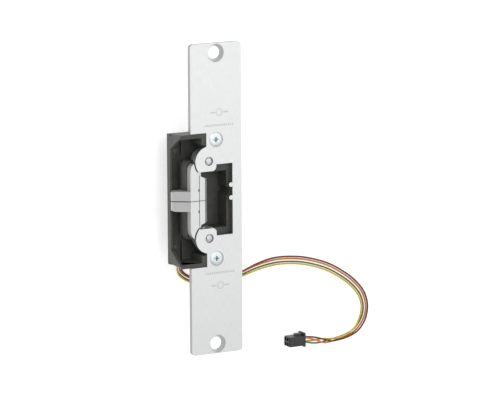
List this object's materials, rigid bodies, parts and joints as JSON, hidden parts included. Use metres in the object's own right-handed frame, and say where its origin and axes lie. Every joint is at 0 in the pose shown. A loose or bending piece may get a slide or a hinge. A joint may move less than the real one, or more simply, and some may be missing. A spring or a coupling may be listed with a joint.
{
  "type": "electric door strike",
  "caption": "Electric strike: satin faceplate, hinged split jaws over a ramped black lip, a box with solenoid and lock bar, and leads to a small plug.",
  "frame": {"origin": "middle of the rear cover's back face, on which the strike lies", "axes": "+X across the faceplate, away from the lip; +Y along the faceplate; +Z out of its front face"},
  "size_m": [0.1568, 0.2113, 0.03],
  "materials": {
    "satin_plate": "satin, fine brushed grain",
    "cast_jaw": "satin cast metal, lightly peened",
    "black_casting": "black baked coating, semi-matt",
    "cover_steel": "plain rolled sheet",
    "zinc_screw": "clear zinc plating, slightly blue",
    "steel": "machined",
    "spring_steel": "drawn wire",
    "passivated": "yellow passivated zinc",
    "coil_tape": "wound wire under tape",
    "bobbin_nylon": "natural nylon",
    "connector_nylon": "black nylon, moulded",
    "grommet_rubber": "soft black rubber",
    "terminal_tin": "tin-plated brass",
    "wire_brown": "insulation, slightly glossy",
    "wire_orange": "insulation, slightly glossy",
    "wire_green": "insulation, slightly glossy",
    "wire_yellow": "insulation, slightly glossy"
  },
  "bodies": {
    "frame": {"faceplate": "satin_plate", "lip_housing": "black_casting", "strike_box": "black_casting", "rear_cover": "cover_steel", "upper_face_screw": "zinc_screw", "lower_face_screw": "zinc_screw", "upper_lip_rivet": "black_casting", "lower_lip_rivet": "black_casting", "upper_pivot_pin": "steel", "lower_pivot_pin": "steel", "upper_retaining_clip": "spring_steel", "lower_retaining_clip": "spring_steel", "upper_return_spring": "spring_steel", "lower_return_spring": "spring_steel", "upper_guide_screw": "zinc_screw", "lower_guide_screw": "zinc_screw", "upper_solenoid_screw": "zinc_screw", "lower_solenoid_screw": "zinc_screw", "solenoid_yoke": "passivated", "pole_core": "steel", "solenoid_bobbin": "bobbin_nylon", "solenoid_coil": "coil_tape", "plunger_spring": "spring_steel", "cover_screw_upper_left": "zinc_screw", "cover_screw_upper_right": "zinc_screw", "cover_screw_lower_left": "zinc_screw", "cover_screw_lower_right": "zinc_screw", "lead_grommet": "grommet_rubber", "connector_housing": "connector_nylon", "inner_lead_brown": "wire_brown", "lead_brown": "wire_brown", "terminal_brown": "terminal_tin", "inner_lead_orange": "wire_orange", "lead_orange": "wire_orange", "terminal_orange": "terminal_tin", "inner_lead_green": "wire_green", "lead_green": "wire_green", "terminal_green": "terminal_tin", "inner_lead_yellow": "wire_yellow", "lead_yellow": "wire_yellow", "terminal_yellow": "terminal_tin"},
    "upper_jaw": {"upper_jaw": "cast_jaw", "upper_jaw_guard": "black_casting", "upper_jaw_insert": "cast_jaw", "upper_insert_screw": "zinc_screw", "upper_lock_arm": "passivated"},
    "lower_jaw": {"lower_jaw": "cast_jaw", "lower_jaw_guard": "black_casting", "lower_jaw_insert": "cast_jaw", "lower_insert_screw": "zinc_screw", "lower_lock_arm": "passivated"},
    "lock_slide": {"lock_bar": "passivated", "plunger": "steel"}
  },
  "joints": [
    {"name": "upper_jaw_swing", "type": "hinge", "parent": "frame", "child": "upper_jaw", "pos_m": [-0.0052, 0.025, 0.02], "axis": [0, 0, -1], "range_deg": [0, 60], "stiffness_Nm_per_rad": 0.02, "springref_deg": -22.92},
    {"name": "lower_jaw_swing", "type": "hinge", "parent": "frame", "child": "lower_jaw", "pos_m": [-0.0052, -0.025, 0.02], "axis": [0, 0, 1], "range_deg": [0, 60], "stiffness_Nm_per_rad": 0.02, "springref_deg": -22.92},
    {"name": "lock_bar_slide", "type": "slide", "parent": "frame", "child": "lock_slide", "axis": [-1, 0, 0], "range_m": [0, 0.0034], "stiffness_N_per_m": 150, "springref_m": -0.004, "deforming": ["plunger_spring"]}
  ]
}
